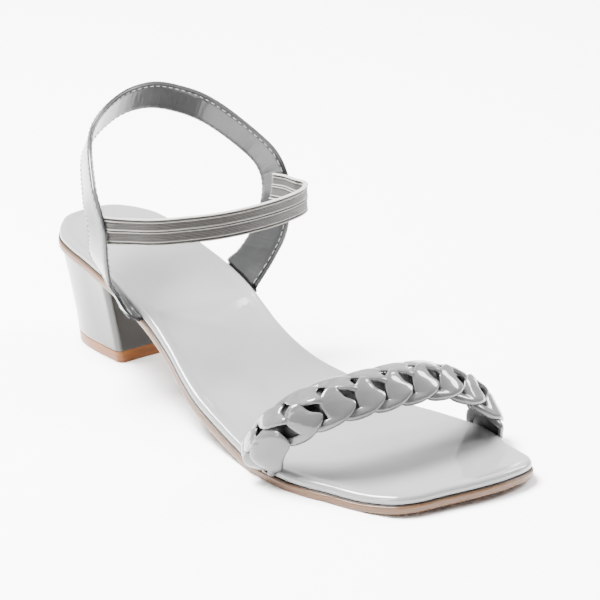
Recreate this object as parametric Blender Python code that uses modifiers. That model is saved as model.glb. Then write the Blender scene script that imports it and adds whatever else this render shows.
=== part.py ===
# Block heel sandal for the right foot: patent straps, a padded footbed, a thin tan outsole, a square heel.
# Metres, +Z up, toe towards -Y, the big-toe side at +X. The floor is z = 0 and the origin is under the heel.
import math

import bpy
import bmesh
from mathutils import Vector

for thing in list(bpy.data.objects):
    bpy.data.objects.remove(thing, do_unlink=True)

# Sole
SOLE_LENGTH = 0.2400        # back of the heel seat to the toe edge
BALL_WIDTH = 0.0827         # widest part of the sole
SEAT_HEIGHT = 0.0417        # floor to the underside of the outsole at the very back
TOE_SPRING = 0.0024         # floor to the underside of the outsole at the toe edge
OUTSOLE_THICK = 0.0029
OUTSOLE_ROUND = 0.0007      # softening of the outsole's edge
FOOTBED_THICK = 0.0036
FOOTBED_INSET = 0.0006      # the outsole shows this much round the footbed
FOOTBED_ROLL = 0.0013       # drop of the padded edge where it rolls over
RIM_WIDTH = 0.0050          # distance in from the edge over which the padded rim falls to the dished top
RIM_RISE = 0.0007           # the rim stands this much above the dished top
GAP = 0.0003                # between pieces that touch

# Heel
HEEL_BASE_WIDTH = 0.0332
HEEL_BASE_LENGTH = 0.0385
HEEL_BASE_AT = 0.02925      # centre of the heel's base, from the back of the seat
HEEL_SEAT_INSET = 0.0010    # the heel's top stays this far inside the sole's edge
HEEL_CORNER = 0.0026        # rounding of the two upright breast corners
HEEL_FLARE = 1.25           # above 1 the sides swell out late, close under the seat
HEEL_BACK_SQUARE = 4        # above 2 the back of the base is squarer than an oval
HEEL_BACK_SEAT = 0.9        # width at the very back of the heel's top, share of the seat's width there
TOP_PIECE_THICK = 0.0048

# Ankle strap
STRAP_WIDTH = 0.0133
STRAP_THICK = 0.0018
STRAP_RISE = 0.0680         # middle of the strap at its highest, above the outsole at its feet
STRAP_SPREAD = 0.0790       # widest distance across the loop
STRAP_REACH = 0.0366        # how far the loop runs back from its feet
STRAP_FEET_AT = 0.0720      # middle of its feet, from the back of the seat

# Instep elastic
ELASTIC_WIDTH = 0.0105
ELASTIC_THICK = 0.0014
ELASTIC_RIB = 0.0004        # the two bands stand this much above the groove between them
ELASTIC_SWING = 0.0222      # how far it bows towards the toe
ELASTIC_TUCK = 0.0080       # length sewn behind the strap at each end
ELASTIC_LATERAL_AT = 2.90   # place of its ends on the strap's run, counted in rows of STRAP_RUN
ELASTIC_MEDIAL_AT = 12.0

# Braided vamp strap
BRAID_WIDTH = 0.0215
BRAID_WALL = 0.0022
BRAID_HEIGHT = 0.0304       # middle of the wall at its highest, above the outsole
BRAID_FORWARD = 0.0250      # from the middle of the lateral foot forward to the crown
STRAND_WIDTH = 0.0098       # each of the three plaited strips
STRAND_RISE = 0.0028        # how far the strips stand out of the wall
PLAIT_TURNS = 3.8           # full waves of each strip from foot to foot
PLAIT_SLOPE = 0.95          # slope of a strip where it crosses the middle
PLAIT_MEAN = 0.32           # middle height of a strip, share of STRAND_RISE
PLAIT_WEAVE = 0.30          # rise and fall of a strip over and under its neighbours, share of STRAND_RISE
PLAIT_ROUND = 0.38          # roundness of a strip's face, share of STRAND_RISE

# Ends of the straps, skived and lasted under the footbed
TAB_THICK = 0.0010
TAB_TUCK = 0.0065
TAB_BEND = 0.0011
TAB_CLEAR = 0.0006

# Outline of the sole, from the back to the toe, as shares of SOLE_LENGTH along and of BALL_WIDTH across.
# Columns: lateral along, lateral across, medial along, medial across.
OUTLINE = [
    (0.000, -0.050, 0.000, 0.105),
    (0.0025, -0.088, 0.0025, 0.139),
    (0.009, -0.128, 0.009, 0.178),
    (0.021, -0.167, 0.021, 0.219),
    (0.040, -0.215, 0.040, 0.261),
    (0.063, -0.254, 0.063, 0.297),
    (0.104, -0.279, 0.104, 0.316),
    (0.146, -0.288, 0.146, 0.310),
    (0.188, -0.299, 0.188, 0.301),
    (0.229, -0.311, 0.229, 0.295),
    (0.271, -0.325, 0.271, 0.289),
    (0.313, -0.341, 0.313, 0.280),
    (0.354, -0.358, 0.354, 0.265),
    (0.396, -0.375, 0.396, 0.247),
    (0.438, -0.394, 0.438, 0.238),
    (0.479, -0.417, 0.479, 0.253),
    (0.521, -0.438, 0.521, 0.286),
    (0.563, -0.453, 0.563, 0.331),
    (0.604, -0.466, 0.604, 0.374),
    (0.646, -0.478, 0.646, 0.412),
    (0.688, -0.490, 0.688, 0.446),
    (0.729, -0.498, 0.729, 0.478),
    (0.771, -0.496, 0.771, 0.504),
    (0.813, -0.474, 0.813, 0.522),
    (0.854, -0.434, 0.854, 0.515),
    (0.896, -0.398, 0.896, 0.485),
    (0.9375, -0.348, 0.9375, 0.456),
    (0.960, -0.307, 0.966, 0.432),
    (0.975, -0.240, 0.985, 0.392),
    (0.982, -0.163, 0.9955, 0.325),
    (0.9835, -0.130, 0.9990, 0.250),
    (0.985, -0.105, 1.000, 0.200),
]

# Underside of the outsole: share of SOLE_LENGTH, share of SEAT_HEIGHT, share of TOE_SPRING.
UNDERSIDE = [
    (0.000, 1.000, 0.00),
    (0.104, 0.926, 0.00),
    (0.188, 0.856, 0.00),
    (0.271, 0.779, 0.00),
    (0.354, 0.667, 0.00),
    (0.396, 0.580, 0.00),
    (0.438, 0.470, 0.00),
    (0.479, 0.345, 0.00),
    (0.521, 0.235, 0.00),
    (0.563, 0.161, 0.00),
    (0.604, 0.102, 0.00),
    (0.646, 0.046, 0.00),
    (0.688, 0.000, 0.00),
    (0.896, 0.000, 0.00),
    (0.9375, 0.000, 0.30),
    (1.000, 0.000, 1.00),
]

# Feet of the straps along the sole's edge, as shares of SOLE_LENGTH: rear end, front end.
STRAP_LATERAL_FOOT = (0.222, 0.348)
STRAP_MEDIAL_FOOT = (0.270, 0.360)
BRAID_LATERAL_FOOT = (0.664, 0.766)
BRAID_MEDIAL_FOOT = (0.782, 0.866)

# Free run of the ankle strap from its lateral to its medial foot, along the middle of its width.
# Columns: across, share of STRAP_SPREAD; back from the feet, share of STRAP_REACH; up from the outsole,
# share of STRAP_RISE; direction of the front edge in x, y, z; width, share of STRAP_WIDTH.
STRAP_RUN = [
    (-0.415, 0.16, 0.145, -0.30, -0.93, -0.22, 1.40),
    (-0.490, 0.05, 0.303, -0.10, -0.97, -0.20, 1.15),
    (-0.524, -0.04, 0.510, -0.06, -0.98, 0.18, 1.00),
    (-0.484, 0.21, 0.668, -0.06, -0.66, 0.75, 1.00),
    (-0.319, 0.74, 0.847, -0.06, -0.54, 0.84, 1.00),
    (-0.090, 0.99, 0.955, -0.08, -0.46, 0.88, 1.00),
    (0.090, 0.94, 1.000, -0.03, -0.42, 0.91, 1.00),
    (0.235, 0.80, 0.965, 0.00, -0.46, 0.89, 1.00),
    (0.350, 0.58, 0.890, 0.00, -0.48, 0.88, 1.00),
    (0.440, 0.17, 0.755, 0.05, -0.64, 0.77, 1.00),
    (0.471, -0.09, 0.652, 0.09, -0.81, 0.58, 1.12),
    (0.475, -0.20, 0.500, 0.13, -0.94, 0.33, 1.25),
    (0.425, -0.24, 0.300, 0.20, -0.96, 0.12, 1.34),
    (0.355, -0.19, 0.150, 0.18, -0.98, 0.00, 1.44),
]

# Free run of the elastic: way across between its ends, share of ELASTIC_SWING.
ELASTIC_RUN = [
    (0.055, 0.24),
    (0.150, 0.56),
    (0.280, 0.78),
    (0.420, 0.94),
    (0.575, 1.00),
    (0.715, 0.98),
    (0.840, 0.90),
    (0.935, 0.78),
    (0.995, 0.62),
    (1.020, 0.44),
    (1.010, 0.24),
]

# Free run of the braid from its lateral to its medial foot.
# Columns: way across between the feet; up, share of BRAID_HEIGHT; forward, share of BRAID_FORWARD;
# direction of the front edge in x and z for a run of one in y.
BRAID_RUN = [
    (-0.008, 0.36, 0.20, 0.00, -0.04),
    (0.012, 0.59, 0.44, 0.06, -0.16),
    (0.060, 0.78, 0.66, 0.08, -0.27),
    (0.140, 0.92, 0.83, 0.08, -0.34),
    (0.240, 0.98, 0.94, 0.04, -0.36),
    (0.365, 1.00, 1.00, 0.00, -0.36),
    (0.500, 0.99, 1.01, -0.02, -0.35),
    (0.640, 0.95, 1.01, -0.06, -0.34),
    (0.765, 0.85, 1.00, -0.12, -0.34),
    (0.878, 0.66, 1.00, -0.18, -0.30),
    (0.955, 0.44, 1.02, -0.14, -0.20),
    (0.994, 0.25, 1.04, -0.04, -0.06),
]

COLOURS = {
    "outsole": ((0.72, 0.46, 0.29), 0.45),
    "footbed": ((0.62, 0.63, 0.63), 0.16),
    "heel_block": ((0.50, 0.50, 0.49), 0.18),
    "heel_top_piece": ((0.68, 0.38, 0.18), 0.45),
    "ankle_strap": ((0.55, 0.55, 0.55), 0.18),
    "instep_elastic": ((0.47, 0.46, 0.43), 0.60),
    "vamp_braid": ((0.58, 0.58, 0.57), 0.14),
}

LATERAL, MEDIAL = -1, 1
UP = Vector((0, 0, 1))


def new_collection(name):
    collection = bpy.data.collections.new(name)
    bpy.context.scene.collection.children.link(collection)
    return collection


PARTS = new_collection("block_heel_sandal")
CUTTERS = new_collection("cutters")


def mix(low, high, share):
    return low + (high - low) * share


# Value of a table's column at a place in another column, straight between rows.
def read(table, place_column, value_column, place):
    last = len(table) - 1
    row = next((k for k in range(last) if place <= table[k + 1][place_column]), last - 1)
    low, high = table[row], table[row + 1]
    share = (place - low[place_column]) / (high[place_column] - low[place_column])
    return mix(low[value_column], high[value_column], min(max(share, 0.0), 1.0))


# Point on the smooth curve through a list of vectors, at place t counted in vectors.
def through(points, t):
    last = len(points) - 1
    t = min(max(t, 0.0), float(last))
    i = min(int(t), last - 1)
    f = t - i
    here, there = points[i], points[i + 1]
    before = points[i - 1] if i > 0 else here * 2 - there
    after = points[i + 2] if i + 2 <= last else there * 2 - here
    bend = before * 2 - here * 5 + there * 4 - after
    turn = here * 3 - before - there * 3 + after
    return here + ((there - before) * f + bend * f * f + turn * f ** 3) / 2


# Height of the outsole's underside at a distance from the back of the seat.
def underside(along):
    share = along / SOLE_LENGTH
    return read(UNDERSIDE, 0, 1, share) * SEAT_HEIGHT + read(UNDERSIDE, 0, 2, share) * TOE_SPRING


def outsole_top(along):
    return underside(along) + OUTSOLE_THICK


# Distance across to the sole's edge on one side, at a distance from the back of the seat.
def edge(side, along):
    column = 0 if side == LATERAL else 2
    return BALL_WIDTH * read(OUTLINE, column, column + 1, along / SOLE_LENGTH)


# Point beside the footbed: out is square to its edge, up is from the outsole's upper face.
def beside(side, along, out, up):
    step = 0.001
    slope = (edge(side, along + step) - edge(side, along - step)) / (2 * step)
    outward = Vector((side, side * slope)).normalized() * (out - FOOTBED_INSET)
    y = HEEL_BASE_AT - along + outward.y
    return Vector((edge(side, along) + outward.x, y, outsole_top(HEEL_BASE_AT - y) + up))


def material(name):
    colour, roughness = COLOURS[name]
    made = bpy.data.materials.new(name)
    made.use_nodes = True
    shader = made.node_tree.nodes["Principled BSDF"]
    shader.inputs["Base Color"].default_value = (*colour, 1.0)
    shader.inputs["Roughness"].default_value = roughness
    shader.inputs["Metallic"].default_value = 0.0
    return made


def new_object(name, bm, collection):
    mesh = bpy.data.meshes.new(name)
    bm.to_mesh(mesh)
    bm.free()
    made = bpy.data.objects.new(name, mesh)
    collection.objects.link(made)
    if collection is CUTTERS:
        made.hide_render = True
        made.display_type = "WIRE"
    else:
        mesh.materials.append(material(name))
        mesh.shade_smooth()
        mesh.set_sharp_from_angle(angle=math.radians(35))
    return made


def skin(bm, grid):
    for low, high in zip(grid, grid[1:]):
        for k in range(len(low) - 1):
            bm.faces.new((low[k], low[k + 1], high[k + 1], high[k]))


# Closed solid between two grids of points that have the same rows and columns.
def between(name, lower, upper, collection=PARTS):
    bm = bmesh.new()
    under, over = [[[bm.verts.new(point) for point in row] for row in grid] for grid in (lower, upper)]
    skin(bm, under)
    skin(bm, over)
    for pair in ((under[0], over[0]), (under[-1], over[-1])):
        skin(bm, pair)
    for column in (0, -1):
        skin(bm, ([row[column] for row in under], [row[column] for row in over]))
    bmesh.ops.recalc_face_normals(bm, faces=bm.faces)
    return new_object(name, bm, collection)


# Closed solid through a row of closed rings, its two end rings filled.
def loft(name, rings, collection=PARTS):
    bm = bmesh.new()
    made = [[bm.verts.new(point) for point in ring] for ring in rings]
    skin(bm, [ring + ring[:1] for ring in made])
    bm.faces.new(made[0])
    bm.faces.new(made[-1])
    bmesh.ops.recalc_face_normals(bm, faces=bm.faces)
    return new_object(name, bm, collection)


# Open surface of a strap, thickened evenly to both sides; each point has its own share of the thickness.
def strap(name, rows, thick, shares):
    bm = bmesh.new()
    skin(bm, [[bm.verts.new(point) for point in row] for row in rows])
    made = new_object(name, bm, PARTS)
    wall = made.vertex_groups.new(name="wall")
    for number, share in enumerate(share for row in shares for share in row):
        wall.add([number], share, "REPLACE")
    shell = made.modifiers.new("wall", "SOLIDIFY")
    shell.thickness = thick
    shell.offset = 0.0
    shell.vertex_group = "wall"
    shell.thickness_vertex_group = 0.0
    return made


def cut(piece, cutter):
    made = piece.modifiers.new("cut", "BOOLEAN")
    made.operation = "DIFFERENCE"
    made.solver = "EXACT"
    made.object = cutter


# Plan of the sole as rows across it, drawn in by an inset. Each row is its points from the lateral to the
# medial edge, with each point's distance from the outline.
def plan(inset, margins, middle):
    sides = []
    for side, column in ((LATERAL, 0), (MEDIAL, 2)):
        line = [Vector((row[column + 1] * BALL_WIDTH, -row[column] * SOLE_LENGTH)) for row in OUTLINE]
        drawn = []
        for k, point in enumerate(line):
            ahead = line[min(k + 1, len(line) - 1)] - line[max(k - 1, 0)]
            drawn.append(point + Vector((ahead.y, -ahead.x)).normalized() * side * inset)
        drawn[0] = Vector((line[0].x, line[0].y - inset))
        drawn[-1] = Vector((line[-1].x, line[-1].y + inset))
        sides.append(drawn)
    lateral, medial = sides
    outline = lateral + medial[::-1]
    rim_share = 0.42        # the rim's points take at most this share of the width from each edge
    rows = []
    for left, right in zip(lateral, medial):
        wide = (right - left).length
        near = [min(margin / wide, rim_share * (k + 1) / len(margins)) for k, margin in enumerate(margins)]
        shares = [0.0] + near + [mix(near[-1], 1 - near[-1], k / middle) for k in range(1, middle)]
        shares += [1 - share for share in near[::-1]] + [1.0]
        points = [left.lerp(right, s) for s in shares]
        rows.append([(point, from_outline(point, outline)) for point in points])
    return rows


def from_outline(point, outline):
    nearest = SOLE_LENGTH
    for start, end in zip(outline, outline[1:] + outline[:1]):
        reach = end - start
        share = min(max((point - start).dot(reach) / reach.length_squared, 0.0), 1.0)
        nearest = min(nearest, (point - start - reach * share).length)
    return nearest


def raised(rows, height):
    return [[Vector((p.x, p.y + HEEL_BASE_AT, height(-p.y, deep))) for p, deep in row] for row in rows]


def make_outsole():
    rows = plan(0.0, (OUTSOLE_ROUND, BALL_WIDTH * 0.2), 2)

    def lower(along, deep):
        return underside(along) + max(OUTSOLE_ROUND - deep, 0.0)

    def upper(along, deep):
        return outsole_top(along)

    between("outsole", raised(rows, lower), raised(rows, upper))


def make_footbed():
    rows = plan(FOOTBED_INSET, (FOOTBED_ROLL * 0.35, FOOTBED_ROLL, RIM_WIDTH), 4)

    def lower(along, deep):
        return outsole_top(along) + GAP

    def upper(along, deep):
        rolled = FOOTBED_ROLL * (1 - math.sqrt(1 - (1 - min(deep / FOOTBED_ROLL, 1.0)) ** 2))
        dished = RIM_RISE * min(max(deep - FOOTBED_ROLL, 0.0) / (RIM_WIDTH - FOOTBED_ROLL), 1.0)
        return outsole_top(along) + FOOTBED_THICK - rolled - dished

    footbed = between("footbed", raised(rows, lower), raised(rows, upper))
    feet = (
        (LATERAL, STRAP_LATERAL_FOOT),
        (MEDIAL, STRAP_MEDIAL_FOOT),
        (LATERAL, BRAID_LATERAL_FOOT),
        (MEDIAL, BRAID_MEDIAL_FOOT),
    )
    for number, (side, (rear, front)) in enumerate(feet):
        cut(footbed, pocket("pocket_%d" % number, side, rear * SOLE_LENGTH, front * SOLE_LENGTH))


# Recess under the footbed's edge for one lasted strap end.
def pocket(name, side, rear, front):
    inner, outer = -TAB_TUCK - TAB_CLEAR, 3 * TAB_TUCK
    ceiling = GAP + TAB_THICK + GAP
    steps = 8
    rings = []
    for k in range(steps + 1):
        along = mix(rear - TAB_CLEAR, front + TAB_CLEAR, k / steps)
        corners = ((inner, -OUTSOLE_THICK), (outer, -OUTSOLE_THICK), (outer, ceiling), (inner, ceiling))
        rings.append([beside(side, along, out, up) for out, up in corners])
    return loft(name, rings, CUTTERS)


# Ring of the heel block at one height: the sides swell from the base to the seat.
def heel_ring(height):
    breast = HEEL_BASE_AT + HEEL_BASE_LENGTH / 2
    share = (height / SEAT_HEIGHT) ** HEEL_FLARE
    places = (0.18, 0.38, 0.58, 0.75, 0.88, 0.96, 1.0)
    halves = []
    for side in (LATERAL, MEDIAL):
        base_side = HEEL_BASE_WIDTH / 2
        seat_side = abs(edge(side, breast)) - HEEL_SEAT_INSET
        wide = mix(base_side, seat_side, share)
        half = []
        for k in range(4):
            turn = math.radians(30 * k)
            corner_out = wide - HEEL_CORNER * (1 - math.sin(turn))
            half.append((corner_out, breast - HEEL_CORNER * (1 - math.cos(turn))))
        for place in places:
            base_along = mix(breast, HEEL_BASE_AT - HEEL_BASE_LENGTH / 2, place)
            seat_along = mix(breast, HEEL_SEAT_INSET, place)
            base_out = base_side * (1 - place ** HEEL_BACK_SQUARE) ** (1 / 3)
            seat_out = abs(edge(side, seat_along)) - HEEL_SEAT_INSET
            if place == 1:
                seat_out *= HEEL_BACK_SEAT
            half.append((mix(base_out, seat_out, share), mix(base_along, seat_along, share)))
        halves.append([Vector((side * out, HEEL_BASE_AT - along, height)) for out, along in half])
    return halves[0] + halves[1][::-1]


def make_heel():
    loft("heel_top_piece", [heel_ring(0.0), heel_ring(TOP_PIECE_THICK)])
    low = TOP_PIECE_THICK + GAP
    levels = [mix(low, SEAT_HEIGHT, share) for share in (0.0, 0.25, 0.5, 0.75, 1.0)]
    block = loft("heel_block", [heel_ring(level) for level in levels])
    breast = HEEL_BASE_AT + HEEL_BASE_LENGTH / 2
    steps = 8
    rings = []
    for k in range(steps + 1):
        along = mix(-HEEL_BASE_LENGTH / 2, breast + HEEL_BASE_LENGTH / 2, k / steps)
        y, low = HEEL_BASE_AT - along, underside(along) - GAP
        high = low + SEAT_HEIGHT
        corners = ((LATERAL, low), (MEDIAL, low), (MEDIAL, high), (LATERAL, high))
        rings.append([Vector((side * BALL_WIDTH, y, z)) for side, z in corners])
    cut(block, loft("seat_cutter", rings, CUTTERS))


# Rows of one lasted strap end: from under the footbed, round the bend and up its side.
def foot_rows(side, rear, front, columns, thick, top):
    wall = GAP + thick / 2
    low = GAP + TAB_THICK / 2
    centre = wall - TAB_BEND
    stops = [(-TAB_TUCK, low), (mix(-TAB_TUCK, centre, 0.5), low)]
    for k in range(4):
        turn = math.radians(30 * k)
        stops.append((centre + TAB_BEND * math.sin(turn), low + TAB_BEND * (1 - math.cos(turn))))
    stops.append((wall, top))
    rows = []
    for out, up in stops:
        rows.append([beside(side, mix(rear, front, (v + 1) / 2) * SOLE_LENGTH, out, up) for v in columns])
    share = TAB_THICK / thick
    return rows, [share, share, share, mix(share, 1, 1 / 3), mix(share, 1, 2 / 3), 1.0, 1.0]


# Foot, free run and foot of a strap as one run of rows. The run holds a middle and a half width for each row.
def strap_rows(lateral, medial, run, columns, thick, splits):
    top = FOOTBED_THICK
    start, start_shares = foot_rows(LATERAL, *lateral, columns, thick, top)
    end, end_shares = foot_rows(MEDIAL, *medial, columns, thick, top)
    stations = [start[-1]] + [[middle + half * v for v in columns] for middle, half in run] + [end[-1]]
    free = []
    for k in range(1, (len(stations) - 1) * splits):
        lines = zip(*stations)
        free.append([through(list(line), k / splits) for line in lines])
    rows = start + free + end[::-1]
    shares = start_shares + [1.0] * len(free) + end_shares[::-1]
    return rows, [[share] * len(columns) for share in shares]


def ankle_run():
    run = []
    for across, back, up, x, y, z, wide in STRAP_RUN:
        along = STRAP_FEET_AT - back * STRAP_REACH
        height = outsole_top(STRAP_FEET_AT) + up * STRAP_RISE
        middle = Vector((across * STRAP_SPREAD, HEEL_BASE_AT - along, height))
        run.append((middle, Vector((x, y, z)).normalized() * wide * STRAP_WIDTH / 2))
    return run


def make_ankle_strap():
    columns = (-1.0, -0.33, 0.33, 1.0)
    rows, shares = strap_rows(STRAP_LATERAL_FOOT, STRAP_MEDIAL_FOOT, ankle_run(), columns, STRAP_THICK, 4)
    strap("ankle_strap", rows, STRAP_THICK, shares)


# Place on the ankle strap's middle surface: t counts rows of its run, v is -1 at the rear edge, 1 in front.
def on_strap(t, v):
    run = ankle_run()
    middles = [middle for middle, half in run]
    halves = [half for middle, half in run]
    return through(middles, t - 1) + through(halves, t - 1) * v


# Row of the elastic behind the strap: back from the strap's front edge, pressed on the strap's inside.
def tucked(t, back, columns):
    step = 0.05
    centre = on_strap(t, 1)
    ahead = (on_strap(t + step, 0) - on_strap(t - step, 0)) / (2 * step)
    front = on_strap(t, 1) - on_strap(t, 0)
    inward = ahead.cross(front).normalized()
    middle_of_loop = Vector((0, centre.y, centre.z))
    if inward.dot(middle_of_loop - centre) < 0:
        inward = -inward
    off = inward * (STRAP_THICK / 2 + GAP + ELASTIC_THICK / 2)
    row = []
    for v in columns:
        shift = Vector((0, back, v * ELASTIC_WIDTH / 2))
        place = t + shift.dot(ahead) / ahead.length_squared
        row.append(on_strap(place, 1 + shift.dot(front) / front.length_squared) + off)
    middle = (row[0] + row[-1]) / 2
    stretch = ELASTIC_WIDTH / (row[-1] - row[0]).length
    return [middle + (point - middle) * stretch for point in row]


def make_instep_elastic():
    columns = (-1.0, -0.55, -0.08, 0.08, 0.55, 1.0)
    backs = (ELASTIC_TUCK, ELASTIC_TUCK / 2, 0.0)
    start = [tucked(ELASTIC_LATERAL_AT, back, columns) for back in backs]
    end = [tucked(ELASTIC_MEDIAL_AT, back, columns) for back in backs[::-1]]
    lateral = (start[-1][0] + start[-1][-1]) / 2
    medial = (end[0][0] + end[0][-1]) / 2
    stations = [start[-2], start[-1]]
    for across, swing in ELASTIC_RUN:
        middle = lateral.lerp(medial, across) - Vector((0, swing * ELASTIC_SWING, 0))
        stations.append([middle + UP * v * ELASTIC_WIDTH / 2 for v in columns])
    stations += [end[0], end[1]]
    splits = 4
    free = []
    for k in range(splits + 1, (len(stations) - 2) * splits):
        free.append([through(list(line), k / splits) for line in zip(*stations)])
    rows = start + free + end
    groove = 1 - 2 * ELASTIC_RIB / ELASTIC_THICK
    strap("instep_elastic", rows, ELASTIC_THICK, [[1.0, 1.0, groove, groove, 1.0, 1.0]] * len(rows))


def braid_run():
    lateral = beside(LATERAL, sum(BRAID_LATERAL_FOOT) / 2 * SOLE_LENGTH, GAP + BRAID_WALL / 2, 0)
    medial = beside(MEDIAL, sum(BRAID_MEDIAL_FOOT) / 2 * SOLE_LENGTH, GAP + BRAID_WALL / 2, 0)
    run = []
    for across, up, forward, x, z in BRAID_RUN:
        middle = Vector((mix(lateral.x, medial.x, across), lateral.y - forward * BRAID_FORWARD, 0))
        middle.z = OUTSOLE_THICK + up * BRAID_HEIGHT
        run.append((middle, Vector((x, -1, z)).normalized() * BRAID_WIDTH / 2))
    return run


# Relief of the plait at a place along the braid (0 to 1) and across it in metres. The three strips wave
# from edge to edge a third of a turn apart, each over its neighbour on its way in and under it going out.
def plait(along, across):
    swing = (BRAID_WIDTH - STRAND_WIDTH) / 2
    highest = 0.0
    for strand in range(3):
        angle = 2 * math.pi * (PLAIT_TURNS * along + strand / 3)
        slant = math.atan(math.cos(angle) * PLAIT_SLOPE)
        off = (across - swing * math.sin(angle)) * math.cos(slant) / (STRAND_WIDTH / 2)
        if abs(off) < 1:
            lift = PLAIT_MEAN - PLAIT_WEAVE * math.sin(2 * angle)
            highest = max(highest, lift + PLAIT_ROUND * math.sqrt(1 - off * off))
    return highest * STRAND_RISE


# Half width of the braid towards one edge, scalloped by the strips that turn there.
def scallop(along, way):
    swing = (BRAID_WIDTH - STRAND_WIDTH) / 2
    angles = [2 * math.pi * (PLAIT_TURNS * along + strand / 3) for strand in range(3)]
    return (swing * max(way * math.sin(angle) for angle in angles) + STRAND_WIDTH / 2) / (BRAID_WIDTH / 2)


def make_vamp_braid():
    count = 12
    columns = [mix(-1.0, 1.0, k / count) for k in range(count + 1)]
    splits = 7
    rows, shares = strap_rows(BRAID_LATERAL_FOOT, BRAID_MEDIAL_FOOT, braid_run(), columns, BRAID_WALL, splits)
    flat = 5                # rows of each lasted end that stay flat under the footbed
    last = len(rows) - 1
    lengths = [0.0]
    for low, high in zip(rows[flat:last - flat], rows[flat + 1:]):
        lengths.append(lengths[-1] + (high[count // 2] - low[count // 2]).length)
    shaped = [list(row) for row in rows]
    for number in range(flat, last - flat + 1):
        row = rows[number]
        along = lengths[number - flat] / lengths[-1]
        ahead = rows[number + 1][count // 2] - rows[number - 1][count // 2]
        across = row[-1] - row[0]
        outward = across.cross(ahead).normalized()
        fade = min(1.0, (number - flat) / 3, (last - flat - number) / 3)
        centre = (row[0] + row[-1]) / 2
        for k, v in enumerate(columns):
            wide = mix(1.0, scallop(along, 1 if v > 0 else -1), fade)
            place = centre + (row[k] - centre) * wide
            shaped[number][k] = place + outward * fade * plait(along, v * wide * BRAID_WIDTH / 2)
    strap("vamp_braid", shaped, BRAID_WALL, shares)


make_outsole()
make_footbed()
make_heel()
make_ankle_strap()
make_instep_elastic()
make_vamp_braid()
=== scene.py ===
import math

import bpy
import bmesh
from mathutils import Matrix, Vector


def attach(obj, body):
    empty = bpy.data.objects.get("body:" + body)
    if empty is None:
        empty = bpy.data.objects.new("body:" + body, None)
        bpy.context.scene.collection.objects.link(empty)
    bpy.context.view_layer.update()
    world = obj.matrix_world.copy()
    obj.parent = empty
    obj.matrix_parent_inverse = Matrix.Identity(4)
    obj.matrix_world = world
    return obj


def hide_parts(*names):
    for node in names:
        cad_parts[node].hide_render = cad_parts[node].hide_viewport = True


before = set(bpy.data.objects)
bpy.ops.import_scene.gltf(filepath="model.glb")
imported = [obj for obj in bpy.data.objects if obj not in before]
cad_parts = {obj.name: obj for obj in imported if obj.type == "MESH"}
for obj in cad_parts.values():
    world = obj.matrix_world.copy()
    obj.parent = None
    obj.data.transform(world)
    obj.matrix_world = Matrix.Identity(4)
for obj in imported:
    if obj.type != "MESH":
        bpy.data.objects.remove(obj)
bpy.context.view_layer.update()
print("frame loaded")

mm = 0.001
lateral, medial = -1, 1  # outer and inner side of this right shoe
up = Vector((0, 0, 1))

# sizes shared by all the pieces, in metres, and the sole's own form
shoe = {
    "length": 0.2400,  # back of the seat to the toe
    "ball": 0.0827,  # widest part of the sole
    "seatHeight": 0.0417,
    "toeSpring": 0.0024,
    "outsole": 0.0029,  # thickness of the tan outsole
    "footbed": 0.0036,  # thickness of the padded footbed
    "inset": 0.0006,  # outsole shows this much round the footbed
    "gap": 0.0003,
    "heelAt": 0.02925,  # middle of the heel's base, from the back of the seat
}

# outline of the sole as shares: along, lateral across, medial across
soleSides = [
    (0.000, -0.050, 0.105), (0.0025, -0.088, 0.139), (0.009, -0.128, 0.178), (0.021, -0.167, 0.219),
    (0.040, -0.215, 0.261), (0.063, -0.254, 0.297), (0.104, -0.279, 0.316), (0.146, -0.288, 0.310),
    (0.188, -0.299, 0.301), (0.229, -0.311, 0.295), (0.271, -0.325, 0.289), (0.313, -0.341, 0.280),
    (0.354, -0.358, 0.265), (0.396, -0.375, 0.247), (0.438, -0.394, 0.238), (0.479, -0.417, 0.253),
    (0.521, -0.438, 0.286), (0.563, -0.453, 0.331), (0.604, -0.466, 0.374), (0.646, -0.478, 0.412),
    (0.688, -0.490, 0.446), (0.729, -0.498, 0.478), (0.771, -0.496, 0.504), (0.813, -0.474, 0.522),
    (0.854, -0.434, 0.515), (0.896, -0.398, 0.485), (0.9375, -0.348, 0.456),
]

# round the toe each side has its own places: lateral along and across, medial along and across
soleToe = [
    (0.960, -0.307, 0.966, 0.432), (0.975, -0.240, 0.985, 0.392), (0.982, -0.163, 0.9955, 0.325),
    (0.9835, -0.130, 0.9990, 0.250), (0.985, -0.105, 1.000, 0.200),
]
soleOutline = [(row[0], row[1], row[0], row[2]) for row in soleSides] + soleToe

# underside of the outsole: share of the length, share of the seat's height, share of the toe's spring
soleUnderside = [
    (0.000, 1.000, 0.00), (0.104, 0.926, 0.00), (0.188, 0.856, 0.00), (0.271, 0.779, 0.00),
    (0.354, 0.667, 0.00), (0.396, 0.580, 0.00), (0.438, 0.470, 0.00), (0.479, 0.345, 0.00),
    (0.521, 0.235, 0.00), (0.563, 0.161, 0.00), (0.604, 0.102, 0.00), (0.646, 0.046, 0.00),
    (0.688, 0.000, 0.00), (0.896, 0.000, 0.00), (0.9375, 0.000, 0.30), (1.000, 0.000, 1.00),
]

# feet of the straps along the sole's edge, as shares of the length: rear end, front end
strapFeet = {lateral: (0.222, 0.348), medial: (0.270, 0.360)}
braidFeet = {lateral: (0.664, 0.766), medial: (0.782, 0.866)}


def mix(low, high, share):
    return low + (high - low) * share


def ease(share):
    share = min(max(share, 0.0), 1.0)
    return share * share * (3 - 2 * share)


def hump(place, centre, reach):  # 1 at the centre, easing to 0 at the reach
    return ease(1 - abs(place - centre) / reach)


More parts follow.
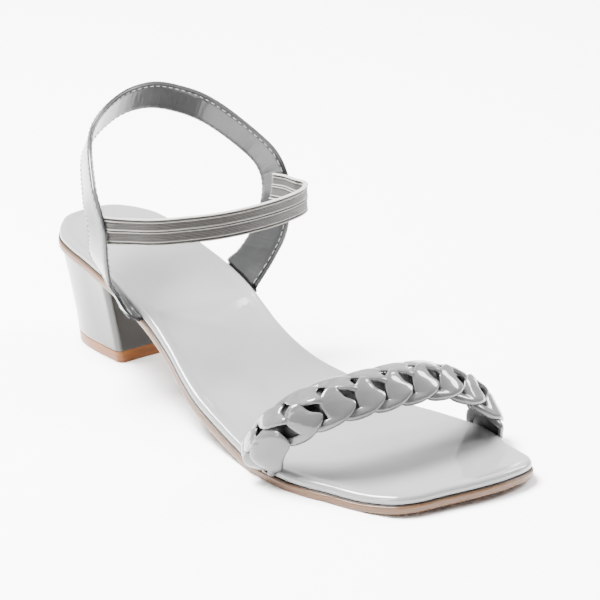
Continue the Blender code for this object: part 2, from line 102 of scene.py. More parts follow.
def readTable(table, placeColumn, valueColumn, place):
    # smooth value of one column at a place in another
    last = len(table) - 1
    place = min(max(place, table[0][placeColumn]), table[last][placeColumn])
    row = next((k for k in range(last) if place <= table[k + 1][placeColumn]), last - 1)

    def slope(k):
        a, b = table[max(k - 1, 0)], table[min(k + 1, last)]
        return (b[valueColumn] - a[valueColumn]) / (b[placeColumn] - a[placeColumn])

    low, high = table[row], table[row + 1]
    reach = high[placeColumn] - low[placeColumn]
    t = (place - low[placeColumn]) / reach
    value = low[valueColumn] * (1 + 2 * t) * (1 - t) ** 2 + high[valueColumn] * t * t * (3 - 2 * t)
    return value + reach * (slope(row) * t * (1 - t) ** 2 - slope(row + 1) * t * t * (1 - t))


def through(points, t):
    # point on the smooth curve through a list of vectors, t counted in vectors
    last = len(points) - 1
    t = min(max(t, 0.0), float(last))
    i = min(int(t), last - 1)
    f = t - i
    here, there = points[i], points[i + 1]
    before = points[i - 1] if i > 0 else here * 2 - there
    after = points[i + 2] if i + 2 <= last else there * 2 - here
    bend = before * 2 - here * 5 + there * 4 - after
    turn = here * 3 - before - there * 3 + after
    return here + ((there - before) * f + bend * f * f + turn * f ** 3) / 2


def underside(along):
    share = along / shoe["length"]
    lift = readTable(soleUnderside, 0, 1, share) * shoe["seatHeight"]
    return max(lift + readTable(soleUnderside, 0, 2, share) * shoe["toeSpring"], 0.0)


def outsoleTop(along):
    return underside(along) + shoe["outsole"]


def soleEdge(side, along):
    column = 0 if side == lateral else 2
    return shoe["ball"] * readTable(soleOutline, column, column + 1, along / shoe["length"])


def beside(side, along, out, lift):
    # point beside the footbed: out is square to its edge, lift is from the outsole's upper face
    step = 0.5 * mm
    slope = (soleEdge(side, along + step) - soleEdge(side, along - step)) / (2 * step)
    outward = Vector((side, side * slope)).normalized() * (out - shoe["inset"])
    y = shoe["heelAt"] - along + outward.y
    return Vector((soleEdge(side, along) + outward.x, y, outsoleTop(shoe["heelAt"] - y) + lift))


# making meshes and materials

def newObject(name, data):
    made = bpy.data.objects.new(name, data)
    bpy.context.scene.collection.objects.link(made)
    return made


def newMesh(name, bm, finish):
    mesh = bpy.data.meshes.new(name)
    bm.to_mesh(mesh)
    bm.free()
    mesh.materials.append(finish)
    return mesh


def addPiece(name, bm, finish, nodes=()):
    bmesh.ops.recalc_face_normals(bm, faces=bm.faces)
    mesh = newMesh(name, bm, finish)
    mesh.shade_smooth()
    piece = newObject(name, mesh)
    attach(piece, "root")
    if nodes:
        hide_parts(*nodes)
    return piece


def joinRings(bm, made):
    # quads between each ring of vertices and the next
    for low, high in zip(made, made[1:]):
        for k in range(len(low)):
            n = (k + 1) % len(low)
            bm.faces.new((low[k], low[n], high[n], high[k]))


def skinRings(bm, rings, lay=None):
    # closed tube through rings of points, its ends filled; lay holds (along, across) for the finish
    layer = bm.verts.layers.float_vector.get("lay") or bm.verts.layers.float_vector.new("lay")
    made = []
    for r, ring in enumerate(rings):
        row = []
        for k, point in enumerate(ring):
            vert = bm.verts.new(point)
            if lay:
                vert[layer] = Vector((lay[r][k][0], lay[r][k][1], 0.0))
            row.append(vert)
        made.append(row)
    joinRings(bm, made)
    bm.faces.new(made[0][::-1])
    bm.faces.new(made[-1])


def skinPiece(name, rings, lay, slotName, finish):
    bm = bmesh.new()
    skinRings(bm, rings, lay)
    return addPiece(name, bm, finish, [slotName])


def newFinish(name, colour, rough, coat=0.0, coatRough=0.03, sheen=0.0, specular=0.5):
    finish = bpy.data.materials.new(name)
    finish.use_nodes = True
    shader = finish.node_tree.nodes["Principled BSDF"]
    shader.inputs["Base Color"].default_value = (*colour, 1.0)
    shader.inputs["Roughness"].default_value = rough
    shader.inputs["Coat Weight"].default_value = coat
    shader.inputs["Coat Roughness"].default_value = coatRough
    shader.inputs["Sheen Weight"].default_value = sheen
    shader.inputs["Specular IOR Level"].default_value = specular
    return finish, finish.node_tree, shader


def addNode(tree, kind, **values):
    node = tree.nodes.new(kind)
    for name, value in values.items():
        setattr(node, name, value)
    return node


def stretched(tree, attribute, scale):
    # texture coordinates from the object, or from the lay of a strap
    if attribute:
        source = addNode(tree, "ShaderNodeAttribute", attribute_name="lay")
        out = source.outputs["Vector"]
    else:
        out = addNode(tree, "ShaderNodeTexCoord").outputs["Object"]
    turn = addNode(tree, "ShaderNodeMapping")
    turn.inputs["Scale"].default_value = scale
    tree.links.new(out, turn.inputs["Vector"])
    return turn.outputs["Vector"]


def noiseOf(tree, attribute, scale, detail=2.0, rough=0.5):
    node = addNode(tree, "ShaderNodeTexNoise")
    node.inputs["Scale"].default_value = 1.0
    node.inputs["Detail"].default_value = detail
    node.inputs["Roughness"].default_value = rough
    tree.links.new(stretched(tree, attribute, scale), node.inputs["Vector"])
    return node.outputs["Fac"]


def wavesOf(tree, direction, scale, distortion):
    node = addNode(tree, "ShaderNodeTexWave", wave_type="BANDS", bands_direction=direction)
    node.inputs["Scale"].default_value = 1.0
    node.inputs["Distortion"].default_value = distortion
    tree.links.new(stretched(tree, True, scale), node.inputs["Vector"])
    return node.outputs["Fac"]


def newRamp(tree, fac, low, high, start, end, way="LINEAR"):
    ramp = addNode(tree, "ShaderNodeValToRGB")
    ramp.color_ramp.interpolation = way
    for k, place, colour in ((0, start, low), (1, end, high)):
        ramp.color_ramp.elements[k].position = place
        ramp.color_ramp.elements[k].color = (*colour, 1.0)
    tree.links.new(fac, ramp.inputs["Fac"])
    return ramp.outputs["Color"]


def tone(tree, shader, fac, low, high, start=0.35, end=0.65):
    tree.links.new(newRamp(tree, fac, low, high, start, end), shader.inputs["Base Color"])


def bumps(tree, shader, layers):
    # layers of (height output, strength, depth in metres), one over the other
    normal = None
    for height, strength, depth in layers:
        node = addNode(tree, "ShaderNodeBump")
        node.inputs["Strength"].default_value = strength
        node.inputs["Distance"].default_value = depth
        tree.links.new(height, node.inputs["Height"])
        if normal:
            tree.links.new(normal, node.inputs["Normal"])
        normal = node.outputs["Normal"]
    tree.links.new(normal, shader.inputs["Normal"])
    if shader.inputs["Coat Weight"].default_value > 0:
        tree.links.new(normal, shader.inputs["Coat Normal"])


def coated(name, colour, attribute, relief, patches, shades, rough, **more):
    # coated finish: relief layers of (scale, detail, roughness, strength, depth), uneven colour
    finish, tree, shader = newFinish(name, colour, rough, **more)
    bumps(tree, shader, [(noiseOf(tree, attribute, *row[:3]), *row[3:]) for row in relief])
    low, high = [[min(c * shade, 1.0) for c in colour] for shade in shades]
    tone(tree, shader, noiseOf(tree, attribute, *patches), low, high)
    return finish


def patent(name, colour, ripple, rippleDepth, attribute=False, rough=0.32, coatRough=0.035):
    # glossy lacquered leather: soft ripples, a faint grain, slightly uneven colour
    relief = [(ripple, 2.0, 0.45, 0.30, rippleDepth), ((900, 900, 900), 2.0, 0.5, 0.05, 0.00006)]
    return coated(name, colour, attribute, relief, ((38, 38, 38), 3.0, 0.5), (0.955, 1.03),
                  rough, coat=0.9, coatRough=coatRough, specular=0.12)


# base colours, linear red, green and blue
colours = {
    "footbed": (0.165, 0.167, 0.168),
    "strap": (0.036, 0.037, 0.038),
    "braid": (0.062, 0.063, 0.063),
    "lining": (0.012, 0.0125, 0.0125),
    "heel": (0.024, 0.024, 0.023),
    # the breast colour is painted shade: the heel's grey darkened for its forward-facing side
    "breast": (0.010, 0.0085, 0.007),
    "outsoleEdge": (0.090, 0.043, 0.018),
    "topPiece": (0.140, 0.042, 0.002),
    "thread": (0.170, 0.171, 0.169),
    "elastic": (0.019, 0.016, 0.0125),
    "cord": (0.300, 0.288, 0.262),
    "gum": (0.022, 0.012, 0.007),
    # near-black strip inside the plait: painted shade in the holes between the strips
    "holeShade": (0.007, 0.007, 0.007),
}

footbedPatent = patent("footbedPatent", colours["footbed"], (34, 20, 34), 0.0005)
strapPatent = patent("strapPatent", colours["strap"], (22, 240, 1), 0.00050, True)
braidPatent = patent("braidPatent", colours["braid"], (190, 120, 1), 0.00022, True)
heelPatent = patent("heelPatent", colours["heel"], (60, 60, 26), 0.00028, False, 0.30, 0.05)
# darker copy of the heel's finish, painted shade for the faces that look forwards
breastPaintedShade = patent("breastPaintedShade", colours["breast"], (150, 60, 70), 0.00060, False, 0.30, 0.05)


def makeLining():
    # smooth grey lining with a fine grain and faint creases across
    relief = [((420, 60, 1), 2.0, 0.5, 0.40, 0.00045), ((1500, 1500, 1), 3.0, 0.6, 0.18, 0.00010)]
    return coated("liningLeather", colours["lining"], True, relief, ((90, 160, 1), 3.0, 0.5), (0.84, 1.16),
                  0.40, coat=0.45, coatRough=0.12, specular=0.3)


def makeElasticFinish():
    # ribbed webbing: fine threads along, tiny knit across
    colour = colours["elastic"]
    finish, tree, shader = newFinish("elasticWebbing", colour, 0.62, sheen=0.25)
    knit = wavesOf(tree, "X", (480, 40, 1), 1.2)
    ribs = wavesOf(tree, "Y", (40, 560, 1), 0.6)
    bumps(tree, shader, [(ribs, 0.55, 0.00020), (knit, 0.30, 0.00012)])
    both = addNode(tree, "ShaderNodeMath", operation="MULTIPLY")
    tree.links.new(ribs, both.inputs[0])
    tree.links.new(knit, both.inputs[1])
    low, high = [[c * shade for c in colour] for shade in (0.62, 1.30)]
    tone(tree, shader, both.outputs[0], low, high, 0.0, 0.8)
    return finish


def makeCordFinish(name, colour, pitch):
    # twisted thread: slanting plies
    finish, tree, shader = newFinish(name, colour, 0.42, sheen=0.3)
    plies = wavesOf(tree, "DIAGONAL", (pitch, pitch, pitch), 0.4)
    bumps(tree, shader, [(plies, 0.5, 0.00010)])
    tone(tree, shader, plies, [c * 0.72 for c in colour], colour, 0.1, 0.7)
    return finish


def makeSoleFinish(name, colour, gloss):
    # tan resin sole: fine lines from trimming, small specks, a waxed edge
    relief = [((160, 160, 5200), 2.0, 0.5, 0.35, 0.00008), ((1400, 1400, 1400), 2.0, 0.5, 0.20, 0.00006)]
    return coated(name, colour, False, relief, ((120, 120, 900), 4.0, 0.6), (0.80, 1.12), 0.50,
                  coat=gloss, coatRough=0.16, specular=0.2)


liningLeather = makeLining()
elasticWebbing = makeElasticFinish()
paleCord = makeCordFinish("paleCord", colours["cord"], 1900)
sewingThread = makeCordFinish("sewingThread", colours["thread"], 2600)
tanOutsole = makeSoleFinish("tanOutsole", colours["outsoleEdge"], 0.35)
tanTopPiece = makeSoleFinish("tanTopPiece", colours["topPiece"], 0.30)
darkGum = makeSoleFinish("darkGum", colours["gum"], 0.0)
# finish of the plait's dark inner strip, painted shade for the holes between the strips
holeShadeTape = makeCordFinish("holeShadeTape", colours["holeShade"], 1500)
print("finishes ready")


# sole: rings of points that follow the outline, lateral half and medial half in step

def halfOutlines():
    # points of both halves in step, from the middle of the back to the middle of the toe
    closed = [Vector((row[1] * shoe["ball"], -row[0] * shoe["length"])) for row in soleOutline]
    closed += [Vector((row[3] * shoe["ball"], -row[2] * shoe["length"])) for row in soleOutline[::-1]]
    count = len(closed)

    def onCurve(i, t):
        p0, p1, p2, p3 = [closed[(i + k) % count] for k in (-1, 0, 1, 2)]
        d0, d1, d2 = [max((b - a).length, 1e-6) for a, b in ((p0, p1), (p1, p2), (p2, p3))]
        m1 = ((p1 - p0) / d0 * d1 + (p2 - p1) / d1 * d0) / (d0 + d1) * d1
        m2 = ((p2 - p1) / d1 * d2 + (p3 - p2) / d2 * d1) / (d1 + d2) * d1
        a, b = 2 * t ** 3 - 3 * t * t + 1, t ** 3 - 2 * t * t + t
        return p1 * a + m1 * b + p2 * (1 - a) + m2 * (t ** 3 - t * t)

    ends, splits = 8, 5  # points round half of each end, and between two rows of the outline
    half = count // 2
    left = [onCurve(count - 1, 0.5 + 0.5 * k / ends) for k in range(ends)]
    right = [onCurve(count - 1, 0.5 - 0.5 * k / ends) for k in range(ends)]
    for i in range(half - 1):
        left += [onCurve(i, k / splits) for k in range(splits)]
        right += [onCurve(count - 2 - i, 1 - k / splits) for k in range(splits)]
    left += [onCurve(half - 1, 0.5 * k / ends) for k in range(ends + 1)]
    right += [onCurve(half - 1, 1 - 0.5 * k / ends) for k in range(ends + 1)]
    return left, right


spineEnds = (0.020, 0.030)  # the sole's spine stops this far from its back and toe, in metres
leftHalf, rightHalf = halfOutlines()
halfCount = len(leftHalf)
soleRing = leftHalf + rightHalf[-2:0:-1]
soleSpine = [(a + b) / 2 for a, b in zip(leftHalf, rightHalf)]
spineBack = next(k for k in range(halfCount) if soleSpine[k].y < -spineEnds[0])
spineToe = next(k for k in range(halfCount) if soleSpine[k].y < spineEnds[1] - shoe["length"])
soleSpine = [soleSpine[min(max(k, spineBack), spineToe)] for k in range(halfCount)]
soleSpine += soleSpine[-2:0:-1]


def soleInward():
    count = len(soleRing)
    normals = []
    for k in range(count):
        ahead = soleRing[(k + 2) % count] - soleRing[k - 2]
        normals.append(Vector((-ahead.y, ahead.x)).normalized())
    return normals


inward = soleInward()


def soleRingAt(inset, heightAt, towardSpine=0.0):
    # the outline moved in by an inset, then a share of the way towards the spine
    ring = []
    for k, point in enumerate(soleRing):
        flat = point + inward[k] * inset
        flat = flat.lerp(soleSpine[k], towardSpine)
        ring.append(Vector((flat.x, flat.y + shoe["heelAt"], heightAt(-flat.y, k, towardSpine))))
    return ring


merged = {"apart": 0.000004, "area": 1e-14}  # points nearer than this become one, smaller faces go


def soleSolid(name, rings, slotName, finish):
    # rings from the lower middle, round the edge and over to the upper middle, closed along the spine
    bm = bmesh.new()
    joinRings(bm, [[bm.verts.new(point) for point in ring] for ring in rings])
    bmesh.ops.remove_doubles(bm, verts=bm.verts, dist=merged["apart"])
    loose = [face for face in bm.faces if face.calc_area() < merged["area"]]
    bmesh.ops.delete(bm, geom=loose, context="FACES_ONLY")
    return addPiece(name, bm, finish, [slotName])


footbedForm = {
    # inward from the edge and up from the outsole, in millimetres, round the padded rim
    "edge": [(7.5, 0.30), (3.0, 0.30), (0.9, 0.32), (0.35, 0.55), (0.08, 1.0), (0.0, 1.55),
             (0.05, 2.15), (0.25, 2.7), (0.60, 3.15), (1.10, 3.48), (1.70, 3.62), (2.40, 3.60),
             (3.20, 3.44), (4.10, 3.20), (5.10, 3.00), (6.30, 2.91)],
    "flat": 2.90,  # height inside the rim, millimetres
    "lowRings": 3,  # rings under the edge that lift over the straps' ends
    "lowShares": (1.0, 0.5, 0.2),  # rings of the underside, as shares of the way to the spine
    "topShares": (0.08, 0.2, 0.35, 0.5, 0.65, 0.8, 0.92, 1.0),
    "overStrap": 1.55,  # the underside rises this much over a strap's end, millimetres
    "overReach": 0.006,  # and eases to it over this share of the length
}


def footLift(k, along):
    # the footbed's underside rises over the ends of the straps that pass under it
    side = lateral if k < halfCount else medial
    share = along / shoe["length"]
    reach = footbedForm["overReach"]
    lift = 0.0
    for feet in (strapFeet, braidFeet):
        rear, front = feet[side]
        lift = max(lift, ease((share - rear) / reach + 1) * ease((front - share) / reach + 1))
    return lift * footbedForm["overStrap"] * mm


def makeFootbed():
    edge = footbedForm["edge"]

    def lowHeight(along, k, deep):
        return outsoleTop(along) + shoe["gap"] + footLift(k, along) * (1 - ease(deep * 3))

    def topHeight(along, k, deep):
        return outsoleTop(along) + footbedForm["flat"] * mm

    rings = [soleRingAt(edge[0][0] * mm, lowHeight, share) for share in footbedForm["lowShares"]]
    for number, (inset, lift) in enumerate(edge):
        under = number < footbedForm["lowRings"]

        def height(along, k, deep, lift=lift, under=under):
            return outsoleTop(along) + (lift * mm + (footLift(k, along) if under else 0.0))

        rings.append(soleRingAt(shoe["inset"] + inset * mm, height))
    for share in footbedForm["topShares"]:
        rings.append(soleRingAt(shoe["inset"] + edge[-1][0] * mm, topHeight, share))
    return soleSolid("footbedPad", rings, "footbed", footbedPatent)


outsoleForm = {
    # inward from the outline and up from the underside, in millimetres, round the edge
    "edge": [(0.55, 0.0), (0.20, 0.12), (0.04, 0.42), (0.0, 0.9), (0.0, 1.9), (0.05, 2.5),
             (0.22, 2.78), (0.6, 2.9)],
    "inner": 5.0,  # rings of both faces start this far in
    "shares": (1.0, 0.6, 0.2, 0.0),  # and lie at these shares of the way to the spine
    "gumBand": (0.35, 2.55, 3.25),  # dark cement line: inward, from, to, in millimetres
    "gumDeep": 2.6,  # it reaches in this far
    "gumBevel": 0.12,
}


def makeOutsole():
    def lowHeight(along, k, deep):
        return underside(along)

    def topHeight(along, k, deep):
        return outsoleTop(along)

    def edgeRing(inset, lift):
        return soleRingAt(inset * mm, lambda along, k, deep: underside(along) + lift * mm)

    inner, shares = outsoleForm["inner"] * mm, outsoleForm["shares"]
    rings = [soleRingAt(inner, lowHeight, share) for share in shares]
    rings += [edgeRing(inset, lift) for inset, lift in outsoleForm["edge"]]
    rings += [soleRingAt(inner, topHeight, share) for share in shares[::-1]]
    soleSolid("outsolePlate", rings, "outsole", tanOutsole)

    inset, low, high = outsoleForm["gumBand"]
    deep, bevel = outsoleForm["gumDeep"], inset + outsoleForm["gumBevel"]
    band = ((deep, low), (bevel, low), (inset, (low + high) / 2), (bevel, high), (deep, high))
    bm = bmesh.new()
    made = [[bm.verts.new(point) for point in edgeRing(*place)] for place in band]
    joinRings(bm, made + made[:1])
    addPiece("cementLine", bm, darkGum)


# heel

heelForm = {
    "baseWidth": 0.0332,
    "baseLength": 0.0385,
    "seatInset": 0.0010,  # the heel's top stands in this far from the outsole's edge
    "corner": 0.0026,  # radius of the two front corners
    "flare": 1.25,  # over 1 keeps it narrow for longer, from the base up
    "topPiece": 0.0048,  # thickness of the lift under the heel
    "backPower": (4, 0.33),  # roundness of the back at the base
    "backSquare": (12, 0.12),  # how late the seat's back narrows, and by which share
    "crowded": 1.7,  # more points towards the back
    "shadeFacing": 0.80,  # faces that look this much forwards get the darker finish, painted shade on the heel's front which ends this far past the base's sides, millimetres
    "shadeReach": 6.0,  # which ends this far past the base's sides, millimetres
    # rings of the lift: up from the floor and in from the heel's side, in millimetres
    "liftRings": [(0.0, 0.45), (0.12, 0.15), (0.45, 0.0), (2.0, 0.0), (4.3, 0.0), (4.6, 0.10),
                  (4.75, 0.40)],
}


def heelRing(heightAt, grow=0.0):
    # ring of points round the heel; heightAt gives each point's height from how far along it is
    breast = shoe["heelAt"] + heelForm["baseLength"] / 2
    start = breast - heelForm["corner"]
    halfBase = heelForm["baseWidth"] / 2
    corner, seatInset = heelForm["corner"], heelForm["seatInset"]
    power, curve = heelForm["backPower"]
    late, square = heelForm["backSquare"]
    half = [("flat", k / 6.5) for k in range(6, 0, -1)]
    half += [("corner", math.radians(90 * (1 - k / 8))) for k in range(9)]
    half += [("side", 1 - (1 - k / 30) ** heelForm["crowded"]) for k in range(1, 31)]
    sides = []
    for side in (lateral, medial):
        seatSide = abs(soleEdge(side, breast)) - seatInset
        points = []
        for kind, place in half:
            z = heightAt(breast)
            for attempt in range(4):  # height and place depend on each other
                share = min(max(z / shoe["seatHeight"], 0.0), 1.0) ** heelForm["flare"]
                wide = mix(halfBase, seatSide, share)
                if kind == "flat":
                    out, along = (wide - corner) * (1 - place), breast
                elif kind == "corner":
                    out = wide - corner * (1 - math.cos(place))
                    along = breast - corner * (1 - math.sin(place))
                else:
                    baseAlong = mix(start, shoe["heelAt"] - heelForm["baseLength"] / 2, place)
                    seatAlong = mix(start, seatInset, place)
                    baseOut = halfBase * (1 - place ** power) ** curve
                    seatOut = abs(soleEdge(side, max(seatAlong, 0.0))) - seatInset
                    seatOut *= 1 - square * place ** late
                    out, along = mix(baseOut, seatOut, share), mix(baseAlong, seatAlong, share)
                z = heightAt(along)
            points.append(Vector((side * (out + grow), shoe["heelAt"] - along, z)))
        sides.append(points)
    return sides[0] + sides[1][::-1]


def makeHeel():
    low, high = heelForm["topPiece"] + 0.1 * mm, -0.05 * mm  # over the lift, under the outsole
    levels = [0.0, 0.010, 0.03] + [k / 24 for k in range(2, 24)] + [0.985, 1.0]
    rings = [heelRing(lambda along: mix(low, underside(along) + high, share)) for share in levels]
    heel = skinPiece("heelCover", rings, None, "heel_block", heelPatent)
    heel.data.materials.append(breastPaintedShade)
    reach = heelForm["baseWidth"] / 2 + heelForm["shadeReach"] * mm
    for face in heel.data.polygons:  # the forward-facing faces of the heel get the darker finish, painted shade on its front
        if face.normal.y < -heelForm["shadeFacing"] and abs(face.center.x) < reach:
            face.material_index = 1

    rings = [heelRing(lambda along: lift * mm, -inset * mm) for lift, inset in heelForm["liftRings"]]
    skinPiece("topPiece", rings, None, "heel_top_piece", tanTopPiece)


footbedPad = makeFootbed()
makeOutsole()
makeHeel()
print("sole and heel made")


# straps: a middle surface of rows from the lateral to the medial foot, then a wall with two faces

lastedEnd = {"thick": 0.0010, "tuck": 0.0065, "bend": 0.0011}  # end of a strap under the footbed
rowsBetween = 10  # rows from one station of a strap to the next


def footRows(side, feet, columns, thick):
    # lasted end from under the footbed, round the bend and up its side
    rear, front = feet[side]
    wall = shoe["gap"] + thick / 2
    low = shoe["gap"] + lastedEnd["thick"] / 2
    centre = wall - lastedEnd["bend"]
    stops = [(-lastedEnd["tuck"], low), (mix(-lastedEnd["tuck"], centre, 0.5), low)]
    for k in range(4):
        bent = math.radians(30 * k)
        out, lift = lastedEnd["bend"] * math.sin(bent), lastedEnd["bend"] * (1 - math.cos(bent))
        stops.append((centre + out, low + lift))
    stops.append((wall, shoe["footbed"]))
    places = [mix(rear, front, (v + 1) / 2) * shoe["length"] for v in columns]
    return [[beside(side, along, out, lift) for along in places] for out, lift in stops]


def rowsThrough(stations):
    lines = [list(line) for line in zip(*stations)]
    steps = (len(stations) - 1) * rowsBetween
    return [[through(line, k / rowsBetween) for line in lines] for k in range(steps + 1)]


def strapRows(feet, run, columns, thick):
    start = footRows(lateral, feet, columns, thick)
    end = footRows(medial, feet, columns, thick)
    middles = [[middle + half * v for v in columns] for middle, half in run]
    return rowsThrough(start + middles + end[::-1])


def between(row, f):
    # point between two columns of a row
    i = min(int(f), len(row) - 2)
    return row[i].lerp(row[i + 1], f - i)


def evenRows(rows, step):
    # the same surface with rows at even steps along its middle
    middle = len(rows[0]) // 2
    lengths = [0.0]
    for low, high in zip(rows, rows[1:]):
        lengths.append(lengths[-1] + (high[middle] - low[middle]).length)
    count = int(lengths[-1] / step)
    even, places, i = [], [], 0
    for k in range(count + 1):
        place = lengths[-1] * k / count
        while i < len(lengths) - 2 and lengths[i + 1] < place:
            i += 1
        share = (place - lengths[i]) / max(lengths[i + 1] - lengths[i], 1e-9)
        even.append([a.lerp(b, share) for a, b in zip(rows[i], rows[i + 1])])
        places.append(place)
    return even, places


def outwardNormals(rows):
    normals = []
    for r in range(len(rows)):
        before, after = rows[max(r - 1, 0)], rows[min(r + 1, len(rows) - 1)]
        line = []
        for k in range(len(rows[r])):
            ahead = after[k] - before[k]
            across = rows[r][min(k + 1, len(rows[r]) - 1)] - rows[r][max(k - 1, 0)]
            line.append(across.cross(ahead).normalized())
        normals.append(line)
    return normals


ankle = {
    "width": 0.0133, "thick": 0.0018, "rise": 0.0680, "spread": 0.0790, "reach": 0.0366, "feetAt": 0.0720,
    # all further lengths are in millimetres
    "edgeSeam": 1.35,  # stitch line in from the edge
    "stitch": 1.75,  # length of a stitch
    "pitch": 2.55,
    "thread": 0.19,  # half its thickness
    "proud": 0.02,  # stitches stand on the leather by this much
    "seamFrom": 4.0,  # stitches start this far from the lasted end
    "sag": (-1.7, -0.8, -3.6),  # its outer foot hangs over the sole's edge
    "sagAt": (11.5, 6.0),  # most at this place, none this far from it
    "sagAcross": (-0.5, 1.3),  # from this share across, growing over this one
    "waves": 0.10,  # height of slight waves along the loop
    # folds of both feet: place from the end, reach, height, how fast they go across and along
    "outerFolds": (12, 16, 0.55, 9, 260),
    "innerFolds": (14, 18, 0.30, 8, -190),
    "seamGroove": (0.10, 0.35),  # depth and half width
    "liningShare": 0.6,  # the lining follows the folds by this share
    "crowded": 1.35,  # more points towards the edges
}

# across, back, up, direction of the front edge in x, y, z, width
ankleRun = [
    (-0.415, 0.16, 0.145, -0.30, -0.93, -0.22, 1.40), (-0.490, 0.05, 0.303, -0.10, -0.97, -0.20, 1.15),
    (-0.524, -0.04, 0.510, -0.06, -0.98, 0.18, 1.00), (-0.484, 0.21, 0.668, -0.06, -0.66, 0.75, 1.00),
    (-0.319, 0.74, 0.847, -0.06, -0.54, 0.84, 1.00), (-0.090, 0.99, 0.955, -0.08, -0.46, 0.88, 1.00),
    (0.090, 0.94, 1.000, -0.03, -0.42, 0.91, 1.00), (0.235, 0.80, 0.965, 0.00, -0.46, 0.89, 1.00),
    (0.350, 0.58, 0.890, 0.00, -0.48, 0.88, 1.00), (0.440, 0.17, 0.755, 0.05, -0.64, 0.77, 1.00),
    (0.471, -0.09, 0.652, 0.09, -0.81, 0.58, 1.12), (0.475, -0.20, 0.500, 0.13, -0.94, 0.33, 1.25),
    (0.425, -0.24, 0.300, 0.20, -0.96, 0.12, 1.34), (0.355, -0.19, 0.150, 0.18, -0.98, 0.00, 1.44),
]


def ankleStations():
    # middle of the strap and half its width, as vectors, from foot to foot
    run = []
    for across, back, rise, x, y, z, wide in ankleRun:
        along = ankle["feetAt"] - back * ankle["reach"]
        height = outsoleTop(ankle["feetAt"]) + rise * ankle["rise"]
        middle = Vector((across * ankle["spread"], shoe["heelAt"] - along, height))
        run.append((middle, Vector((x, y, z)).normalized() * wide * ankle["width"] / 2))
    return run


def wallRings(rows, normals, places, outer, inner, margin, relief):
    # rings of a wall between two offsets from the middle surface, its edges rounded
    rings, lay = [], []
    columns = len(rows[0])
    centre = (outer + inner) / 2
    for r, row in enumerate(rows):
        half = (row[-1] - row[0]).length / 2
        over, under, marks = [], [], []
        for k in range(columns):
            v = -1 + 2 * k / (columns - 1)
            v = math.copysign(1 - (1 - abs(v)) ** ankle["crowded"], v) * (1 - margin / half)
            f = (v + 1) / 2 * (columns - 1)
            point, normal = between(row, f), between(normals[r], f).normalized()
            edge = min((1 - abs(v)) * half / (abs(outer - inner) / 2), 1.0)
            curve = math.sqrt(max(1 - (1 - edge) ** 2, 0.0))
            extra = relief(places[r], v * half, half)
            over.append(point + normal * (mix(centre, outer, curve) + extra))
            under.append(point + normal * (mix(centre, inner, curve) + extra * ankle["liningShare"]))
            marks.append((places[r], v * half))
        rings.append(over + under[-2:0:-1])
        lay.append(marks + marks[-2:0:-1])
    return rings, lay


def pointOn(rows, normals, r, v):
    # point and normal of a surface at a row place r and a share v across
    i = min(int(r), len(rows) - 2)
    share = r - i
    f = (v + 1) / 2 * (len(rows[0]) - 1)
    k = min(int(f), len(rows[0]) - 2)
    point = between(rows[i], f).lerp(between(rows[i + 1], f), share)
    return point, normals[i][k].lerp(normals[i + 1][k], share).normalized()


# rings of a stitch: share of its length, the same for its finish, thickness, lift in radii
stitchRings = [
    (0.0, 0.0, 0.25, -0.9), (0.08, 0.1, 0.75, -0.35), (0.25, 0.25, 1.0, 0.1), (0.5, 0.5, 1.05, 0.3),
    (0.75, 0.75, 1.0, 0.1), (0.92, 0.9, 0.75, -0.35), (1.0, 1.0, 0.25, -0.9),
]


def addStitch(bm, start, end, normal, radius):
    # short thread with rounded ends that dips at both ends
    ahead = (end - start).normalized()
    side = ahead.cross(normal).normalized()
    rings, lay = [], []
    for share, mark, size, lift in stitchRings:
        centre = start.lerp(end, share) + normal * lift * radius
        rings.append([centre + (side * math.cos(a) + normal * math.sin(a) * 0.8) * radius * size
                      for a in [math.radians(60 * k) for k in range(6)]])
        lay.append([((start - end).length * mark, 0.0)] * 6)
    skinRings(bm, rings, lay)


def seamStitches(bm, rows, normals, places, way, offset, first, last):
    # one line of stitches along an edge; way is the edge, offset the height over the middle
    place = first
    r = 0
    while place < last:
        ends = []
        for stop in (place, place + ankle["stitch"] * mm):
            while r < len(places) - 2 and places[r + 1] < stop:
                r += 1
            exact = r + (stop - places[r]) / (places[r + 1] - places[r])
            half = (rows[r][-1] - rows[r][0]).length / 2
            point, normal = pointOn(rows, normals, exact, way * (1 - ankle["edgeSeam"] * mm / half))
            ends.append((point + normal * offset, normal))
        outward = ends[0][1] * math.copysign(1, offset)
        addStitch(bm, ends[0][0], ends[1][0], outward, ankle["thread"] * mm)
        place += ankle["pitch"] * mm
        r = max(r - 3, 0)  # the next stitch may start a few rows back


def ankleRelief(total):
    # soft creases near the feet and slight waves along the loop, all in metres
    grooveDeep, grooveHalf = ankle["seamGroove"]

    def folds(form, fromEnd, place, v):
        at, reach, high, across, along = form
        return hump(fromEnd, at * mm, reach * mm) * high * mm * math.sin(across * v + along * place)

    def relief(place, across, half):
        v = across / half
        lift = ankle["waves"] * mm * math.sin(place * 150 + 3 * v) * math.sin(place * 47 + 1.0)
        lift += folds(ankle["outerFolds"], place, place, v) * ease((v + 0.6) / 1.2)
        lift += folds(ankle["innerFolds"], total - place, place, v)
        groove = abs(1 - abs(v)) * half - ankle["edgeSeam"] * mm
        return lift - grooveDeep * mm * math.exp(-(groove / (grooveHalf * mm)) ** 2)

    return relief


